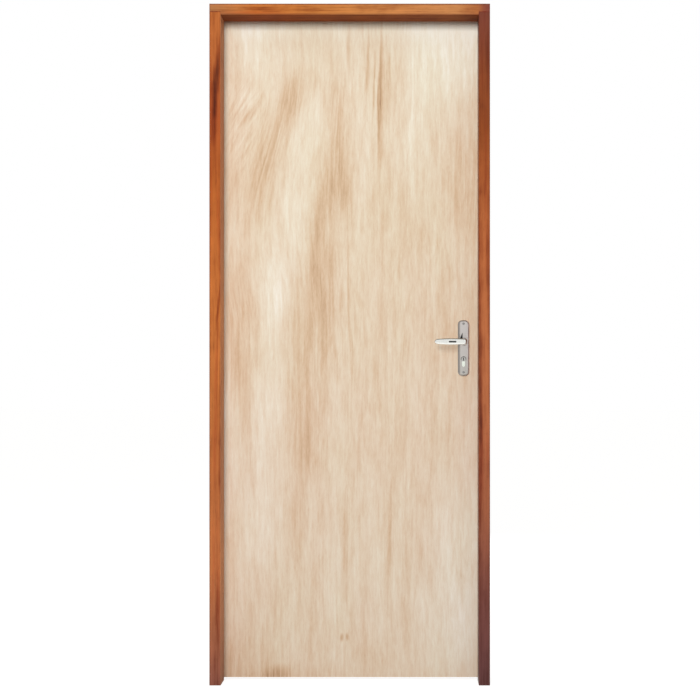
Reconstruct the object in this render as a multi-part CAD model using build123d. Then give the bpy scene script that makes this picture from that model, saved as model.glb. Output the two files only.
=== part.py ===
from build123d import *
import os
from math import cos, radians, sin, sqrt, tan

# A prehung flush door: a rebated hardwood frame with its leaf already hung in it.
# The leaf is semi-hollow. Two thin plywood skins cover a frame of stiles and rails, with slats inside.
# Three butt hinges carry it on the left.
# A mortise lock, a key cylinder and a pair of levers are on the right.
# All sizes are millimetres. +X runs from the hinge side to the lock side, +Y from the push side to the
# pull side, and +Z is up. The origin is on the outer face of the hinge jamb, at the floor and mid depth.
# The leaf opens towards +Y, and its latch and dead bolt are drawn back level with the faceplate.

# Leaf
leaf_width = 820.0
leaf_height = 2100.0
leaf_thickness = 35.0
skin_thickness = 3.0
stile_width = 35.0
rail_height = 60.0
slat_width = 22.0
slat_count = 6
lock_block_width = 75.0
lock_block_height = 400.0
lock_edge_bevel = radians(2.0)

# Gaps round the leaf
side_gap = 5.0
top_gap = 5.0
floor_gap = 8.0
stop_gap = 5.0

# Frame
frame_depth = 140.0
jamb_thickness = 35.0
rebate_step = 10.0
arris_radius = 2.0

# Butt hinges
hinge_height = 90.0
hinge_back_margin = 5.0
hinge_plate_thickness = 3.0
hinge_top_inset = 200.0
hinge_bottom_inset = 250.0
barrel_stand_off = 7.5
knuckle_count = 5
knuckle_gap = 0.3
barrel_clearance = 0.5
pin_clearance = 0.08
pin_head_height = 3.0
pin_head_bevel = 1.4
hinge_screw_margin = 14.0
hinge_screw_inset = 8.0
hinge_screw_stagger = 13.0

# Wood screws of the hinges, the faceplate and the strike plate
screw_radius = 2.2
screw_head_radius = 4.2

# Lock
lever_height = 1080.0
backset = 50.0
cylinder_drop = 55.0
faceplate_width = 22.0
faceplate_height = 200.0
faceplate_thickness = 3.0
faceplate_screw_inset = 10.0
lock_case_depth = 72.0
lock_case_height = 165.0
lock_case_thickness = 14.0
lock_centre_drop = 22.0
mortise_clearance = 0.5
bolt_clearance = 0.25
latch_rise = 16.0
latch_height = 20.0
latch_thickness = 11.0
latch_bevel_depth = 10.0
latch_length = 34.0
dead_bolt_drop = 34.0
dead_bolt_height = 26.0
dead_bolt_thickness = 9.0
dead_bolt_length = 40.0

# Key cylinder
cylinder_head_radius = 8.5
cylinder_stem_width = 10.0
cylinder_profile_height = 33.0
cylinder_clearance = 0.4
cylinder_stand_out = 2.0
plug_radius = 6.5
plug_length = 22.0
plug_clearance = 0.08
keyway_width = 1.8
keyway_height = 8.5
keyway_depth = 14.0

# Back plates of the levers
plate_width = 36.0
plate_height = 177.0
plate_rise = 69.0
plate_thickness = 7.0
plate_wall = 2.0
plate_corner_radius = 14.0
plate_bevel_depth = 2.2
plate_bevel_width = 3.6
plate_screw_inset = 11.0
plate_screw_radius = 2.2
plate_screw_head_radius = 3.9
plate_screw_boss = 6.0
hub_wall = 3.3
hub_boss_rise = 2.0
hub_boss_bevel = 1.4

# Levers and spindle
lever_reach = 93.0
lever_projection = 58.0
lever_neck_width = 17.6
lever_root_height = 17.6
lever_waist_height = 19.4
lever_shoulder_height = 17.6
lever_swell = 2.4
lever_grip_thickness = 12.0
lever_tip_thickness = 9.0
lever_inner_radius = 5.0
lever_corner_power = 5.0
lever_nose_length = 14.0
lever_nose_share = 0.95
lever_edge_radius = 4.0
lever_bend_steps = 5
lever_grip_steps = 5
lever_nose_steps = 4
lever_collar_lip = 0.8
lever_collar_height = 6.0
lever_collar_clearance = 0.1
lever_end_clearance = 2.0
dimple_distance = 36.0
dimple_length = 24.0
dimple_height = 5.5
dimple_depth = 1.2
spindle_side = 8.0
spindle_clearance = 0.1
spindle_insertion = 20.0
spindle_hole_radius = 6.5

# Strike plate
strike_thickness = 2.0
strike_width = 24.0
strike_height = 150.0
strike_hole_clearance = 2.0
strike_lip_height = 34.0
strike_lip_bend = 6.0
strike_lip_angle = 50.0
strike_pocket_depth = 14.0
strike_screw_inset = 10.0

# Places across the depth
frame_front = -frame_depth / 2
frame_back = frame_depth / 2
leaf_back = frame_back
leaf_front = leaf_back - leaf_thickness
leaf_middle = leaf_back - leaf_thickness / 2
stop_shoulder = leaf_front - stop_gap
front_skin_back = leaf_front + skin_thickness
back_skin_front = leaf_back - skin_thickness

# Places across the width
hinge_rebate_x = jamb_thickness - rebate_step
leaf_left = hinge_rebate_x + side_gap
leaf_right = leaf_left + leaf_width
strike_rebate_x = leaf_right + side_gap
frame_width = strike_rebate_x + jamb_thickness - rebate_step
hinge_stile_x = leaf_left + stile_width
lock_stile_x = leaf_right - stile_width
lock_block_x = lock_stile_x - lock_block_width
lever_x = leaf_right - backset

# Places up the height
leaf_bottom = floor_gap
leaf_top = leaf_bottom + leaf_height
head_rebate_z = leaf_top + top_gap
head_stop_z = head_rebate_z - rebate_step
frame_height = head_rebate_z + jamb_thickness - rebate_step
cylinder_z = lever_height - cylinder_drop
cylinder_foot_z = cylinder_z + cylinder_head_radius - cylinder_profile_height
lock_centre_z = lever_height - lock_centre_drop
latch_z = lever_height + latch_rise
dead_bolt_z = lever_height - dead_bolt_drop
plate_centre_z = lever_height + plate_rise - plate_height / 2
hinge_top_z = leaf_top - hinge_top_inset
hinge_bottom_z = leaf_bottom + hinge_bottom_inset
hinge_levels = {
    "top": hinge_top_z,
    "middle": (hinge_top_z + hinge_bottom_z) / 2,
    "bottom": hinge_bottom_z,
}

# Hinge axis: mid gap, so that both plates lie level with the wood and their knuckles share one pin
hinge_axis_x = leaf_left - side_gap / 2
hinge_axis_y = frame_back + barrel_stand_off
bore_radius = side_gap / 2
knuckle_radius = bore_radius + hinge_plate_thickness
knuckle_height = hinge_height / knuckle_count
plate_end_y = leaf_front + hinge_back_margin

# The lock edge is bevelled, so that its push side clears the jamb as the leaf swings
bevel_set_back = leaf_thickness * tan(lock_edge_bevel)
edge_plane = Plane(
    origin=(leaf_right - bevel_set_back / 2, leaf_middle, lock_centre_z),
    x_dir=(sin(lock_edge_bevel), cos(lock_edge_bevel), 0),
    z_dir=(cos(lock_edge_bevel), -sin(lock_edge_bevel), 0),
)
leaf_middle_plane = Plane(origin=(0, leaf_middle, 0), z_dir=(0, 1, 0))

# The lever's round collar turns in the hub of the back plate, and the leaf's hole clears both
lever_collar_radius = lever_neck_width / 2 + lever_collar_lip
hub_bore_radius = lever_collar_radius + lever_collar_clearance
hub_boss_radius = hub_bore_radius + hub_wall

overshoot = 1.0  # how far a cutting tool runs past the face that it opens


def block(x, y, z):
    """A box between the two values given for each axis."""
    size = [high - low for low, high in (x, y, z)]
    centre = [(low + high) / 2 for low, high in (x, y, z)]
    return Pos(*centre) * Box(*size)


def upright(points, bottom, top):
    """A prism over a plan outline."""
    outline = make_face(Polyline(*points, close=True))
    return extrude(Pos(0, 0, bottom) * outline, amount=top - bottom)


def rod_along_y(x, z, radius, y_from, y_to):
    """A round rod along the depth."""
    plane = Plane(origin=(x, y_from, z), z_dir=(0, 1, 0))
    return extrude(plane * Circle(radius), amount=y_to - y_from)


def countersink(plane, radius, head_radius, depth):
    """A tapered screw hole through a plate. The plane lies on the visible face and looks outwards."""
    return loft([plane * Circle(head_radius), plane.offset(-depth) * Circle(radius)])


def rounded(face, corners, radius):
    """The face with the named corners rounded."""
    chosen = [face.vertices().sort_by_distance(Vector(*corner))[0] for corner in corners]
    return fillet(chosen, radius)


# Frame

def jamb_profile(outer_x, inward):
    """A jamb's plan. inward is 1 where the opening lies towards +X, and -1 where it lies towards -X."""
    stop_x = outer_x + inward * jamb_thickness
    rebate_x = stop_x - inward * rebate_step
    corners = [
        (outer_x, frame_front, 0),
        (stop_x, frame_front, 0),
        (stop_x, stop_shoulder, 0),
        (rebate_x, stop_shoulder, 0),
        (rebate_x, frame_back, 0),
        (outer_x, frame_back, 0),
    ]
    face = make_face(Polyline(*corners, close=True))
    return rounded(face, [corners[1], corners[2], corners[4]], arris_radius)


def hinge_recess(level, x_from, x_to):
    """The space that one hinge plate takes out of the wood."""
    half = hinge_height / 2
    return block((x_from, x_to), (plate_end_y, leaf_back + overshoot), (level - half, level + half))


def hinge_jamb():
    jamb = extrude(jamb_profile(0, 1), amount=head_rebate_z)
    for level in hinge_levels.values():
        jamb -= hinge_recess(level, hinge_rebate_x - hinge_plate_thickness, hinge_rebate_x + overshoot)
    return jamb


def strike_jamb():
    jamb = extrude(jamb_profile(frame_width, -1), amount=head_rebate_z)
    plate_back = strike_rebate_x + strike_thickness
    half_width = strike_width / 2
    jamb -= block(
        (strike_rebate_x - overshoot, plate_back),
        (leaf_middle - half_width, leaf_middle + half_width),
        (lock_centre_z - strike_height / 2, lock_centre_z + strike_height / 2),
    )
    jamb -= block(
        (strike_rebate_x - overshoot, plate_back),
        (leaf_middle, frame_back + overshoot),
        (latch_z - strike_lip_height / 2, latch_z + strike_lip_height / 2),
    )
    for cut in strike_holes(strike_rebate_x, plate_back + strike_pocket_depth):
        jamb -= cut
    return jamb


def head_jamb():
    """The head lies over both jambs. Its stop fits between them."""
    corners = [
        (0, frame_front, head_stop_z),
        (0, stop_shoulder, head_stop_z),
        (0, stop_shoulder, head_rebate_z),
        (0, frame_back, head_rebate_z),
        (0, frame_back, frame_height),
        (0, frame_front, frame_height),
    ]
    face = make_face(Polyline(*corners, close=True))
    face = rounded(face, corners[:2], arris_radius)
    head = extrude(face, amount=frame_width, dir=(1, 0, 0))
    for housing_x in ((0, jamb_thickness), (frame_width - jamb_thickness, frame_width)):
        head -= block(housing_x, (frame_front, stop_shoulder), (head_stop_z, head_rebate_z))
    return head


def strike_holes(x_from, x_to):
    """The spaces for the latch and the dead bolt in the strike plate and the jamb behind it."""
    holes = []
    for level, height, thickness in (
        (latch_z, latch_height, latch_thickness),
        (dead_bolt_z, dead_bolt_height, dead_bolt_thickness),
    ):
        half_height = height / 2 + strike_hole_clearance
        half_width = thickness / 2 + strike_hole_clearance
        holes.append(block(
            (x_from, x_to),
            (leaf_middle - half_width, leaf_middle + half_width),
            (level - half_height, level + half_height),
        ))
    return holes


def strike_plate():
    """A flat plate let into the jamb, with a lip that turns round the pull side arris for the latch."""
    plate_back = strike_rebate_x + strike_thickness
    half_width = strike_width / 2
    plate = block(
        (strike_rebate_x, plate_back),
        (leaf_middle - half_width, leaf_middle + half_width),
        (lock_centre_z - strike_height / 2, lock_centre_z + strike_height / 2),
    )
    bend_centre = (strike_rebate_x + strike_lip_bend, frame_back)
    start = 180.0
    outer_arc = CenterArc(bend_centre, strike_lip_bend, start, -strike_lip_angle)
    inner_arc = CenterArc(bend_centre, strike_lip_bend - strike_thickness, start, -strike_lip_angle)
    ends = [Line(outer_arc @ 0, inner_arc @ 0), Line(outer_arc @ 1, inner_arc @ 1)]
    turned = make_face([outer_arc, inner_arc] + ends)
    lip_bottom = latch_z - strike_lip_height / 2
    lip = extrude(Pos(0, 0, lip_bottom) * turned, amount=strike_lip_height)
    lip += block(
        (strike_rebate_x, plate_back),
        (leaf_middle + half_width, frame_back),
        (lip_bottom, lip_bottom + strike_lip_height),
    )
    plate += lip
    for hole in strike_holes(strike_rebate_x - overshoot, plate_back + overshoot):
        plate -= hole
    for end in (-1, 1):
        level = lock_centre_z + end * (strike_height / 2 - strike_screw_inset)
        face = Plane(origin=(strike_rebate_x, leaf_middle, level), z_dir=(-1, 0, 0))
        plate -= countersink(face, screw_radius, screw_head_radius, strike_thickness)
    return plate


# Butt hinges

def hinge_screw_places(level):
    """Depth and height of each screw in one hinge plate. The middle one is staggered."""
    depth = leaf_back - hinge_screw_inset
    rise = hinge_height / 2 - hinge_screw_margin
    return [(depth, level - rise), (depth - hinge_screw_stagger, level), (depth, level + rise)]


def hinge_leaf(level, side):
    """One plate of a butt hinge with its rolled knuckles. side is -1 on the frame and 1 on the door."""
    inner_x = hinge_axis_x + side * bore_radius
    outer_x = hinge_axis_x + side * knuckle_radius
    across = (min(inner_x, outer_x), max(inner_x, outer_x))
    bottom = level - hinge_height / 2
    tongue_length = knuckle_radius + barrel_clearance
    plate = block(across, (plate_end_y, hinge_axis_y - tongue_length), (bottom, bottom + hinge_height))
    tongue = Pos((inner_x + outer_x) / 2, hinge_axis_y - tongue_length / 2) * Rectangle(
        hinge_plate_thickness, tongue_length
    )
    section = Pos(hinge_axis_x, hinge_axis_y) * Circle(knuckle_radius) + tongue
    section -= Pos(hinge_axis_x, hinge_axis_y) * Circle(bore_radius)
    first = 0 if side < 0 else 1
    for index in range(first, knuckle_count, 2):
        below = knuckle_gap / 2 if index > 0 else 0
        above = knuckle_gap / 2 if index < knuckle_count - 1 else 0
        foot = bottom + index * knuckle_height + below
        plate += extrude(Pos(0, 0, foot) * section, amount=knuckle_height - below - above)
    for depth, height in hinge_screw_places(level):
        face = Plane(origin=(inner_x, depth, height), z_dir=(-side, 0, 0))
        plate -= countersink(face, screw_radius, screw_head_radius, hinge_plate_thickness)
    return plate


def hinge_pin(level):
    """A pin with a bevelled button at each end of the barrel."""
    button = Pos(0, 0, (hinge_height + pin_head_height) / 2) * Cylinder(knuckle_radius, pin_head_height)
    button = chamfer(button.edges().group_by(Axis.Z)[-1], pin_head_bevel)
    pin = Cylinder(bore_radius - pin_clearance, hinge_height) + button + mirror(button, about=Plane.XY)
    return Pos(hinge_axis_x, hinge_axis_y, level) * pin


# Leaf

def leaf_edge_x(y):
    """Where the bevelled lock edge lies at a given depth."""
    return leaf_right - (leaf_back - y) * tan(lock_edge_bevel)


def euro_profile(margin=0.0):
    """The key cylinder's outline, drawn round the plug's axis, with a margin all round."""
    head = Circle(cylinder_head_radius + margin)
    half_stem = cylinder_stem_width / 2 + margin
    foot = cylinder_head_radius - cylinder_profile_height + cylinder_stem_width / 2
    stem = Pos(0, foot / 2) * Rectangle(2 * half_stem, -foot)
    return head + stem + Pos(0, foot) * Circle(half_stem)


def cylinder_cut(y_from, y_to):
    """The space round the key cylinder, between two depths."""
    plane = Plane(origin=(lever_x, y_to, cylinder_z), x_dir=(1, 0, 0), z_dir=(0, -1, 0))
    return extrude(plane * euro_profile(cylinder_clearance), amount=y_to - y_from)


def lock_holes(y_from, y_to):
    """The holes for the lever hubs and the key cylinder through a layer of the leaf."""
    hub = rod_along_y(lever_x, lever_height, hub_bore_radius, y_from - overshoot, y_to + overshoot)
    return [hub, cylinder_cut(y_from - overshoot, y_to + overshoot)]


def skin(y_from, y_to):
    outline = [
        (leaf_left, y_from, 0),
        (leaf_edge_x(y_from), y_from, 0),
        (leaf_edge_x(y_to), y_to, 0),
        (leaf_left, y_to, 0),
    ]
    sheet = upright(outline, leaf_bottom, leaf_top)
    for hole in lock_holes(y_from, y_to):
        sheet -= hole
    return sheet


def front_skin():
    return skin(leaf_front, front_skin_back)


def back_skin():
    sheet = skin(back_skin_front, leaf_back)
    for level in hinge_levels.values():
        sheet -= hinge_recess(level, leaf_left - overshoot, leaf_left + hinge_plate_thickness)
    return sheet


def hinge_stile():
    stile = block((leaf_left, hinge_stile_x), (front_skin_back, back_skin_front), (leaf_bottom, leaf_top))
    for level in hinge_levels.values():
        stile -= hinge_recess(level, leaf_left - overshoot, leaf_left + hinge_plate_thickness)
    return stile


def faceplate_space(depth_from, depth_to):
    """The faceplate's outline between two depths below the bevelled edge."""
    outline = Rectangle(faceplate_width, faceplate_height)
    return extrude(edge_plane.offset(-depth_from) * outline, amount=depth_from - depth_to)


def lock_mortise():
    """The pocket for the lock case, which opens behind the faceplate."""
    half_thickness = lock_case_thickness / 2 + mortise_clearance
    half_height = lock_case_height / 2 + mortise_clearance
    back = leaf_right - lock_case_depth - faceplate_thickness - mortise_clearance
    return block(
        (back, leaf_right),
        (leaf_middle - half_thickness, leaf_middle + half_thickness),
        (lock_centre_z - half_height, lock_centre_z + half_height),
    )


def lock_stile():
    outline = [
        (lock_stile_x, front_skin_back, 0),
        (leaf_edge_x(front_skin_back), front_skin_back, 0),
        (leaf_edge_x(back_skin_front), back_skin_front, 0),
        (lock_stile_x, back_skin_front, 0),
    ]
    stile = upright(outline, leaf_bottom, leaf_top)
    stile -= faceplate_space(-overshoot, faceplate_thickness)
    return stile - lock_mortise()


def lock_block():
    """Solid wood beside the lock stile, which takes the lock case and the plates' screws."""
    half_height = lock_block_height / 2
    piece = block(
        (lock_block_x, lock_stile_x),
        (front_skin_back, back_skin_front),
        (lock_centre_z - half_height, lock_centre_z + half_height),
    )
    piece -= lock_mortise()
    for hole in lock_holes(front_skin_back, back_skin_front):
        piece -= hole
    return piece


def rail(z_from, z_to):
    return block((hinge_stile_x, lock_stile_x), (front_skin_back, back_skin_front), (z_from, z_to))


def top_rail():
    return rail(leaf_top - rail_height, leaf_top)


def bottom_rail():
    return rail(leaf_bottom, leaf_bottom + rail_height)


def core_slats():
    """Upright slats between the rails, spread over the width from the hinge stile to the lock block."""
    pitch = (lock_block_x - hinge_stile_x) / (slat_count + 1)
    slats = []
    for index in range(1, slat_count + 1):
        centre = hinge_stile_x + index * pitch
        slats.append(block(
            (centre - slat_width / 2, centre + slat_width / 2),
            (front_skin_back, back_skin_front),
            (leaf_bottom + rail_height, leaf_top - rail_height),
        ))
    return Compound(slats)


# Mortise lock

def beyond_edge(depth):
    """Everything that lies outside a plane parallel to the bevelled edge, at a depth below it."""
    half_space = Rectangle(faceplate_height, 2 * faceplate_height)
    return extrude(edge_plane.offset(-depth) * half_space, amount=faceplate_height)


def bolt_space(level, height, thickness, length, margin):
    """A bolt's own box, from the bevelled edge into the lock."""
    half_height = height / 2 + margin
    half_thickness = thickness / 2 + margin
    return block(
        (leaf_right - faceplate_thickness - length - margin, leaf_right + overshoot),
        (leaf_middle - half_thickness, leaf_middle + half_thickness),
        (level - half_height, level + half_height),
    )


def latch_space(margin=0.0):
    return bolt_space(latch_z, latch_height, latch_thickness, latch_length, margin)


def dead_bolt_space(margin=0.0):
    return bolt_space(dead_bolt_z, dead_bolt_height, dead_bolt_thickness, dead_bolt_length, margin)


def lock_case():
    half_height = lock_case_height / 2
    half_thickness = lock_case_thickness / 2
    case = block(
        (leaf_right - faceplate_thickness - lock_case_depth, leaf_right),
        (leaf_middle - half_thickness, leaf_middle + half_thickness),
        (lock_centre_z - half_height, lock_centre_z + half_height),
    )
    case -= beyond_edge(faceplate_thickness)
    case -= latch_space(bolt_clearance)
    case -= dead_bolt_space(bolt_clearance)
    case -= cylinder_cut(leaf_front, leaf_back)
    return case - rod_along_y(lever_x, lever_height, spindle_hole_radius, leaf_front, leaf_back)


def lock_faceplate():
    plate = faceplate_space(0, faceplate_thickness)
    plate -= latch_space(bolt_clearance)
    plate -= dead_bolt_space(bolt_clearance)
    for end in (-1, 1):
        rise = end * (faceplate_height / 2 - faceplate_screw_inset)
        face = Plane(
            origin=edge_plane.from_local_coords((0, rise, 0)), x_dir=edge_plane.x_dir, z_dir=edge_plane.z_dir
        )
        plate -= countersink(face, screw_radius, screw_head_radius, faceplate_thickness)
    return plate


def latch_bolt():
    """The latch, drawn back. Its bevel faces the push side, and its tip is level with the faceplate."""
    bolt = latch_space() - beyond_edge(0)
    half = latch_thickness / 2
    tip = edge_plane.origin.X
    bevel = upright(
        [
            (tip + overshoot, leaf_middle - half - overshoot, 0),
            (tip - latch_bevel_depth, leaf_middle - half - overshoot, 0),
            (tip - latch_bevel_depth, leaf_middle - half, 0),
            (tip + overshoot, leaf_middle + half - overshoot, 0),
        ],
        latch_z - latch_height,
        latch_z + latch_height,
    )
    return bolt - bevel


def dead_bolt():
    return dead_bolt_space() - beyond_edge(0)


# Key cylinder

cylinder_front = leaf_front - plate_thickness - cylinder_stand_out
cylinder_back = leaf_back + plate_thickness + cylinder_stand_out


def cylinder_body():
    plane = Plane(origin=(lever_x, cylinder_back, cylinder_z), x_dir=(1, 0, 0), z_dir=(0, -1, 0))
    body = extrude(plane * euro_profile(), amount=cylinder_back - cylinder_front)
    for y_from, y_to in (
        (cylinder_front - overshoot, cylinder_front + plug_length),
        (cylinder_back - plug_length, cylinder_back + overshoot),
    ):
        body -= rod_along_y(lever_x, cylinder_z, plug_radius + plug_clearance, y_from, y_to)
    return body


def front_key_plug():
    plug = rod_along_y(lever_x, cylinder_z, plug_radius, cylinder_front, cylinder_front + plug_length)
    return plug - block(
        (lever_x - keyway_width / 2, lever_x + keyway_width / 2),
        (cylinder_front - overshoot, cylinder_front + keyway_depth),
        (cylinder_z - keyway_height / 2, cylinder_z + keyway_height / 2),
    )


def back_key_plug():
    return mirror(front_key_plug(), about=leaf_middle_plane)


# Back plates

def front_backplate():
    """A bevelled plate with a hub for the lever, and pockets in its back above and below the works."""
    middle = Plane(origin=(lever_x, leaf_front, plate_centre_z), x_dir=(1, 0, 0), z_dir=(0, -1, 0))
    outline = middle * RectangleRounded(plate_width, plate_height, plate_corner_radius)
    plate = extrude(outline, amount=plate_thickness)
    face = plate.faces().sort_by(Axis.Y)[0]
    plate = chamfer(face.edges(), plate_bevel_width, plate_bevel_depth, reference=face)
    half_pocket = plate_width / 2 - plate_wall
    screw_rise = plate_height / 2 - plate_screw_inset
    for low, high in (
        (plate_centre_z - screw_rise + plate_screw_boss, cylinder_foot_z - plate_wall),
        (lever_height + hub_boss_radius, plate_centre_z + screw_rise - plate_screw_boss),
    ):
        plate -= block(
            (lever_x - half_pocket, lever_x + half_pocket),
            (leaf_front - plate_thickness + plate_wall, leaf_front + overshoot),
            (low, high),
        )
    hub = Plane(origin=(lever_x, leaf_front, lever_height), x_dir=(1, 0, 0), z_dir=(0, -1, 0))
    ring = extrude(hub * Circle(hub_boss_radius), amount=plate_thickness + hub_boss_rise)
    ring = chamfer(ring.faces().sort_by(Axis.Y)[0].edges(), hub_boss_bevel)
    plate += ring
    plate -= rod_along_y(
        lever_x,
        lever_height,
        hub_bore_radius,
        leaf_front - plate_thickness - hub_boss_rise - overshoot,
        leaf_front + overshoot,
    )
    plate -= cylinder_cut(leaf_front - plate_thickness - overshoot, leaf_front + overshoot)
    for level in (plate_centre_z - screw_rise, plate_centre_z + screw_rise):
        face = Plane(origin=(lever_x, leaf_front - plate_thickness, level), z_dir=(0, -1, 0))
        plate -= countersink(face, plate_screw_radius, plate_screw_head_radius, plate_thickness)
    return plate


def back_backplate():
    return mirror(front_backplate(), about=leaf_middle_plane)


# Levers

def lever_section(along, out, turn, thickness, height, corner):
    """A rounded rectangle across the lever's path. along runs to the tip, and out runs away from the leaf."""
    path_x, path_out = -sin(turn), cos(turn)
    plane = Plane(
        origin=(lever_x - along, leaf_front - out, lever_height),
        x_dir=(path_out, path_x, 0),
        z_dir=(path_x, -path_out, 0),
    )
    return plane * RectangleRounded(thickness, height, corner)


def lever_sections():
    """The lever's sections, from the neck round the corner and along the grip to its rounded nose.

    The corner's sections fan out from a pivot on its inner side, and its outer side is a tight superellipse.
    """
    middle_out = lever_projection - lever_grip_thickness / 2
    pivot_along = lever_neck_width / 2 + lever_inner_radius
    pivot_out = lever_projection - lever_grip_thickness - lever_inner_radius
    neck_side = lever_inner_radius + lever_neck_width
    grip_side = lever_inner_radius + lever_grip_thickness
    start = plate_thickness + hub_boss_rise + lever_collar_height / 2
    sections = [lever_section(0, start, 0, lever_neck_width, lever_root_height, lever_edge_radius)]
    power = lever_corner_power
    for step in range(lever_bend_steps + 1):
        share = step / lever_bend_steps
        turn = radians(90 * share)
        outer = ((cos(turn) / neck_side) ** power + (sin(turn) / grip_side) ** power) ** (-1 / power)
        middle = (lever_inner_radius + outer) / 2
        sections.append(lever_section(
            pivot_along - middle * cos(turn),
            pivot_out + middle * sin(turn),
            turn,
            outer - lever_inner_radius,
            lever_root_height + (lever_waist_height - lever_root_height) * share,
            lever_edge_radius,
        ))
    grip_length = lever_reach - lever_nose_length - pivot_along
    for step in range(1, lever_grip_steps + 1):
        share = step / lever_grip_steps
        swell = sin(radians(180 * share))
        height = lever_waist_height + (lever_shoulder_height - lever_waist_height) * share
        sections.append(lever_section(
            pivot_along + grip_length * share,
            middle_out,
            radians(90),
            lever_grip_thickness + (lever_tip_thickness - lever_grip_thickness) * share,
            height + lever_swell * swell,
            lever_edge_radius,
        ))
    for step in range(1, lever_nose_steps + 1):
        along = step / lever_nose_steps * lever_nose_share
        shrink = sqrt(1 - along ** 2)
        sections.append(lever_section(
            lever_reach - lever_nose_length * (1 - along / lever_nose_share),
            middle_out,
            radians(90),
            lever_tip_thickness * (1 + shrink) / 2,
            lever_shoulder_height * shrink,
            lever_edge_radius * shrink,
        ))
    return sections


def front_lever():
    """A cast lever: a neck with a collar, a tight corner, and a grip that swells before its nose."""
    body = loft(lever_sections(), ruled=True)
    collar_end = leaf_front - plate_thickness - hub_boss_rise - lever_collar_height
    root_end = leaf_front - lever_end_clearance
    body += rod_along_y(lever_x, lever_height, lever_collar_radius, collar_end, root_end)
    dimple = Plane(
        origin=(lever_x - dimple_distance, leaf_front - lever_projection - overshoot, lever_height),
        x_dir=(1, 0, 0),
        z_dir=(0, -1, 0),
    )
    body -= extrude(dimple * SlotOverall(dimple_length, dimple_height), amount=-dimple_depth - overshoot)
    return body - spindle_bar(spindle_side / 2 + spindle_clearance, spindle_clearance)


def spindle_bar(half_side, end_margin):
    """A square bar through the leaf, which reaches into both levers."""
    reach = spindle_insertion + end_margin
    return block(
        (lever_x - half_side, lever_x + half_side),
        (leaf_front - reach, leaf_back + reach),
        (lever_height - half_side, lever_height + half_side),
    )


def back_lever():
    return mirror(front_lever(), about=leaf_middle_plane)


def lever_spindle():
    return spindle_bar(spindle_side / 2, 0)


def main():
    pieces = {
        "hinge_jamb": hinge_jamb(),
        "strike_jamb": strike_jamb(),
        "head_jamb": head_jamb(),
        "strike_plate": strike_plate(),
        "front_skin": front_skin(),
        "back_skin": back_skin(),
        "hinge_stile": hinge_stile(),
        "lock_stile": lock_stile(),
        "top_rail": top_rail(),
        "bottom_rail": bottom_rail(),
        "core_slats": core_slats(),
        "lock_block": lock_block(),
        "lock_case": lock_case(),
        "lock_faceplate": lock_faceplate(),
        "latch_bolt": latch_bolt(),
        "dead_bolt": dead_bolt(),
        "cylinder_body": cylinder_body(),
        "front_key_plug": front_key_plug(),
        "back_key_plug": back_key_plug(),
        "front_backplate": front_backplate(),
        "back_backplate": back_backplate(),
        "front_lever": front_lever(),
        "back_lever": back_lever(),
        "lever_spindle": lever_spindle(),
    }
    for name, level in hinge_levels.items():
        pieces[f"{name}_hinge_frame_plate"] = hinge_leaf(level, -1)
        pieces[f"{name}_hinge_door_plate"] = hinge_leaf(level, 1)
        pieces[f"{name}_hinge_pin"] = hinge_pin(level)
    os.makedirs("parts", exist_ok=True)
    for name, piece in pieces.items():
        export_step(piece, f"parts/{name}.step")


main()
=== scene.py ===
from math import atan2, cos, pi, radians, sin, sqrt, tan

import bmesh
import bpy
from mathutils import Matrix, Vector

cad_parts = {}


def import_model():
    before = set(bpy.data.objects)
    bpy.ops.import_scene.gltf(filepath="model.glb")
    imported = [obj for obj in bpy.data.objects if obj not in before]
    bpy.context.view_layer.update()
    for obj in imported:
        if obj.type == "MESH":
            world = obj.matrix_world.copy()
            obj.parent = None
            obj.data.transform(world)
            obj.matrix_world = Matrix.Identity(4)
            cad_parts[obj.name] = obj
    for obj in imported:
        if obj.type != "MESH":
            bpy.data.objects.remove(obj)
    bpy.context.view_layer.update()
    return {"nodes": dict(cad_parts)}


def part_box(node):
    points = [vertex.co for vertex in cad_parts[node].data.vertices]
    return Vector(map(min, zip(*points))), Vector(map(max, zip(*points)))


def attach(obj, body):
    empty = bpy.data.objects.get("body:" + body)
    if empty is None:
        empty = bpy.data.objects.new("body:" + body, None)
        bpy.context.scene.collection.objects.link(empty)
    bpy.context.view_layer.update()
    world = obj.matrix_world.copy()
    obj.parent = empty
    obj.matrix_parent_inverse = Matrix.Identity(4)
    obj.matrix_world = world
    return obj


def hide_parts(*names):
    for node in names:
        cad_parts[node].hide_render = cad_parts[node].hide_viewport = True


# Looks for a prehung flush door. All sizes are metres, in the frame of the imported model.
# +X runs from the hinge side to the lock side, +Y from the push side to the pull side, +Z is up.

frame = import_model()

MM = 0.001


def rgb(red, green, blue):
    """A colour written as it shows on screen, 0 to 255, in the linear values that shaders take."""
    def linear(value):
        value /= 255
        return value / 12.92 if value <= 0.04045 else ((value + 0.055) / 1.055) ** 2.4
    return (linear(red), linear(green), linear(blue), 1)


def middle_of(node):
    low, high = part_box(node)
    return [(near + far) / 2 for near, far in zip(low, high)]


# Sockets of the node that mixes two colours: share, first and second colour
MIX_SOCKETS = (0, 6, 7)
# Size of a patch through the leaf, so great that depth makes no difference
PATCH_DEPTH = 100
# Shares of a patch's half size at which it fades out and at which it is full
PATCH_RIM, PATCH_CORE = 1, 0.1


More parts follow.
